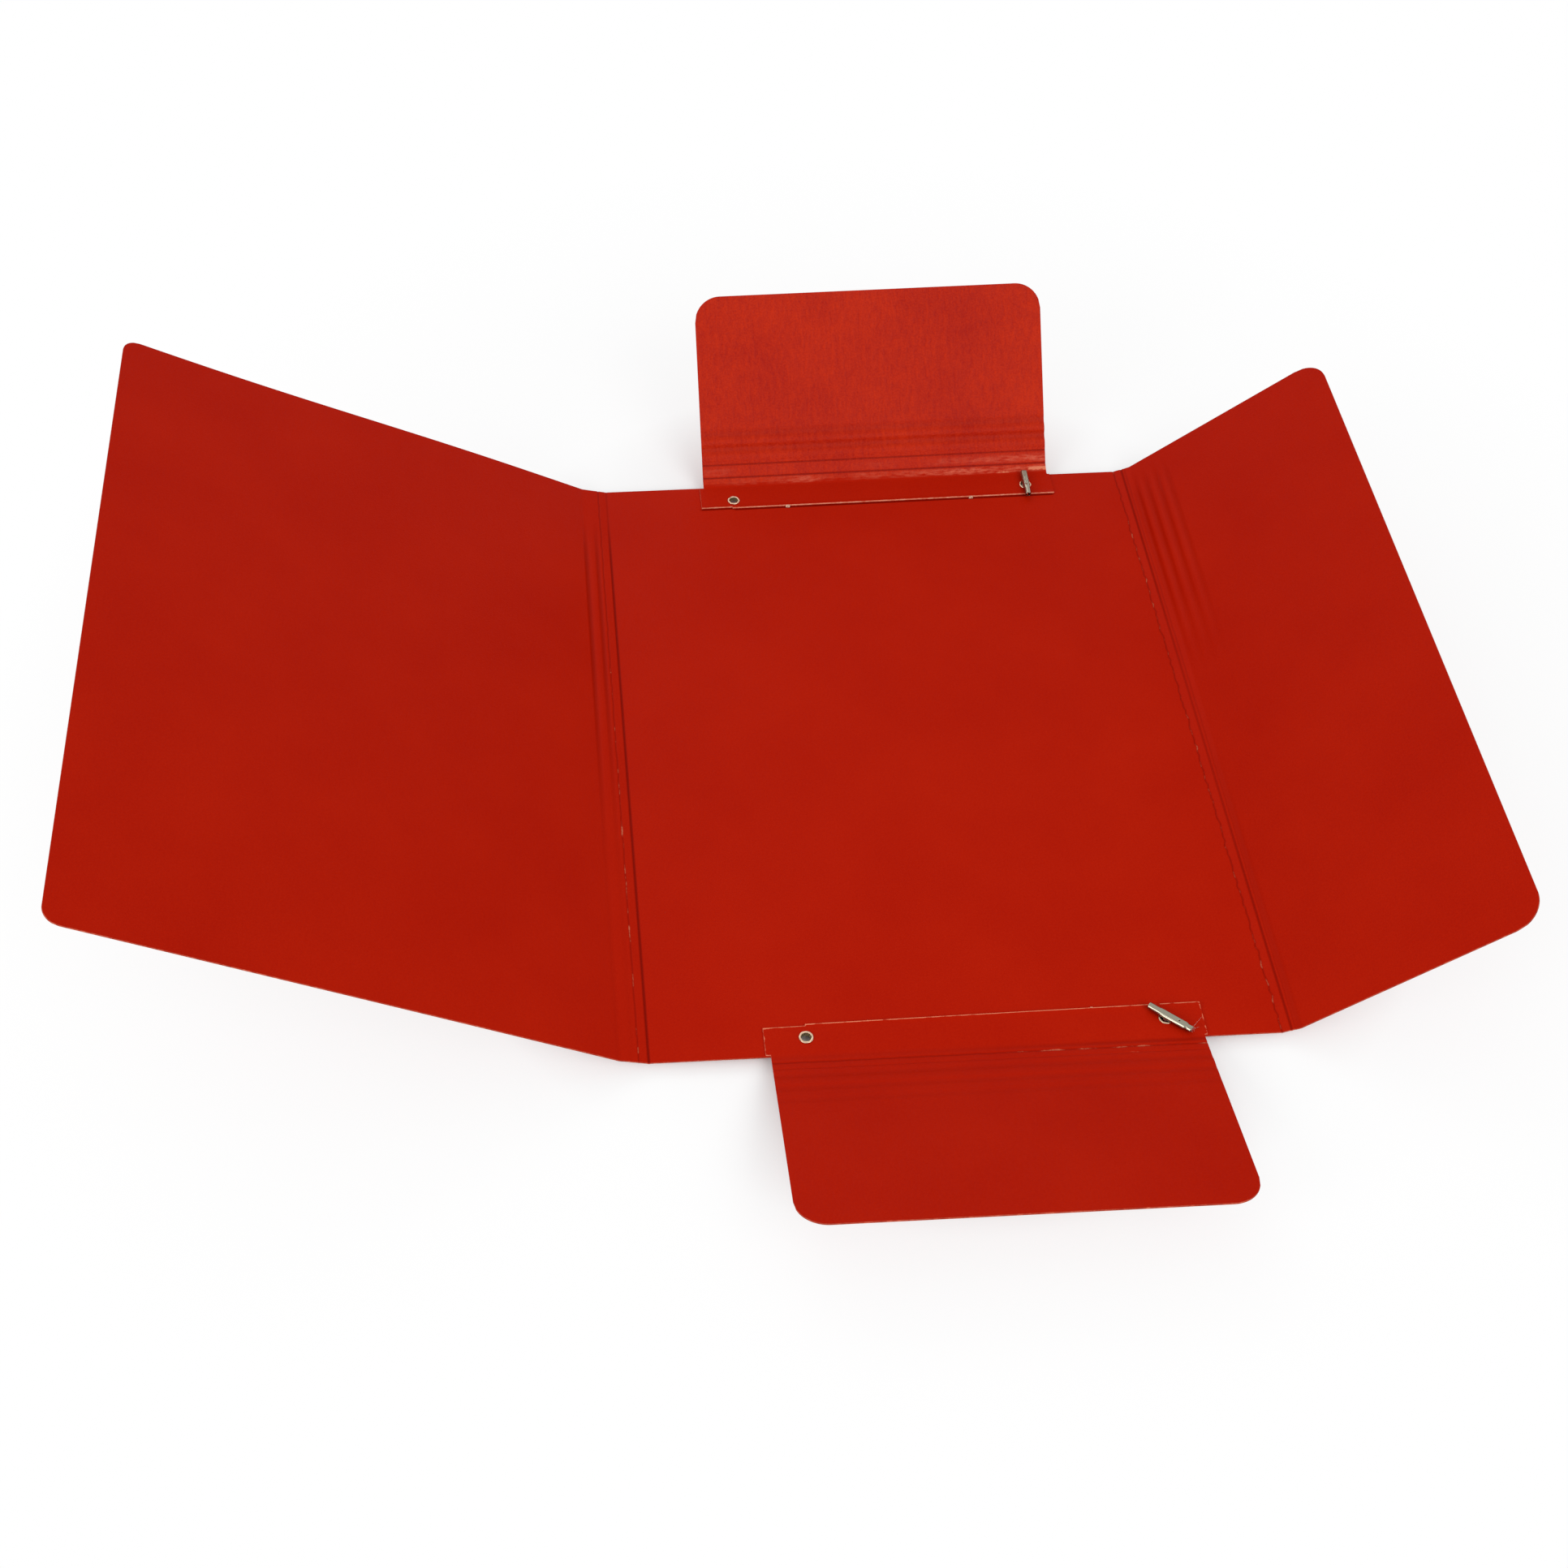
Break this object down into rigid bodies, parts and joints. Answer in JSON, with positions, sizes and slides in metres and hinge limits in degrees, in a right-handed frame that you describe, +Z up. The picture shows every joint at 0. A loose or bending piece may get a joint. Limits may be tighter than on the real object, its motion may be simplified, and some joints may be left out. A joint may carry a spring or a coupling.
{
  "type": "three flap folder",
  "caption": "Open document folder of laminated board with hinged cover, side, top and bottom flaps, eyelets and an elastic cord closure.",
  "frame": {"origin": "middle of the open folder's footprint, on the table", "axes": "+X across the folder to the side flap, +Y up the folder's height to the top flap, +Z up, out of the inner face"},
  "size_m": [0.5354, 0.471, 0.1055],
  "materials": {
    "red_board": "satin",
    "nickel_plate": "satin",
    "covered_elastic": "matte"
  },
  "bodies": {
    "back": {"back_panel": "red_board", "top_tab": "red_board", "bottom_tab": "red_board", "eyelet_top_left": "nickel_plate", "eyelet_top_right": "nickel_plate", "eyelet_bottom_left": "nickel_plate", "eyelet_bottom_right": "nickel_plate", "elastic_cord": "covered_elastic", "barb_top": "nickel_plate", "barb_bottom": "nickel_plate"},
    "spine": {"spine_wall": "red_board"},
    "cover": {"front_cover": "red_board"},
    "side_strip": {"side_wall": "red_board"},
    "side_leaf": {"side_flap": "red_board"},
    "top_strip": {"top_wall": "red_board"},
    "top_leaf": {"top_flap": "red_board"},
    "bottom_strip": {"bottom_wall": "red_board"},
    "bottom_leaf": {"bottom_flap": "red_board"}
  },
  "joints": [
    {"name": "cover_wall_fold", "type": "hinge", "parent": "back", "child": "spine", "pos_m": [-0.05782, 0.01143, 0.0035], "axis": [0, 1, 0], "range_deg": [-13.3, 76.7]},
    {"name": "cover_fold", "type": "hinge", "parent": "spine", "child": "cover", "pos_m": [-0.06892, 0.01143, 0.00612], "axis": [0, 1, 0], "range_deg": [-13.3, 76.7]},
    {"name": "side_flap_wall_fold", "type": "hinge", "parent": "back", "child": "side_strip", "pos_m": [0.18218, 0.01143, 0.0035], "axis": [0, -1, 0], "range_deg": [-19.1, 70.9]},
    {"name": "side_flap_fold", "type": "hinge", "parent": "side_strip", "child": "side_leaf", "pos_m": [0.18926, 0.01143, 0.00595], "axis": [0, -1, 0], "range_deg": [-19.1, 70.9]},
    {"name": "top_flap_wall_fold", "type": "hinge", "parent": "back", "child": "top_strip", "pos_m": [0.06928, 0.17143, 0.0042], "axis": [1, 0, 0], "range_deg": [-23, 67]},
    {"name": "top_flap_fold", "type": "hinge", "parent": "top_strip", "child": "top_leaf", "pos_m": [0.06928, 0.17512, 0.00576], "axis": [1, 0, 0], "range_deg": [-23, 67]},
    {"name": "bottom_flap_wall_fold", "type": "hinge", "parent": "back", "child": "bottom_strip", "pos_m": [0.06928, -0.14857, 0.0042], "axis": [-1, 0, 0], "range_deg": [-8.1, 81.9]},
    {"name": "bottom_flap_fold", "type": "hinge", "parent": "bottom_strip", "child": "bottom_leaf", "pos_m": [0.06928, -0.15253, 0.00476], "axis": [-1, 0, 0], "range_deg": [-8.1, 81.9]}
  ],
  "couplings": [
    {"joint": "cover_wall_fold", "follows": "cover_fold", "ratio": 1},
    {"joint": "side_flap_wall_fold", "follows": "side_flap_fold", "ratio": 1},
    {"joint": "top_flap_wall_fold", "follows": "top_flap_fold", "ratio": 1},
    {"joint": "bottom_flap_wall_fold", "follows": "bottom_flap_fold", "ratio": 1}
  ]
}
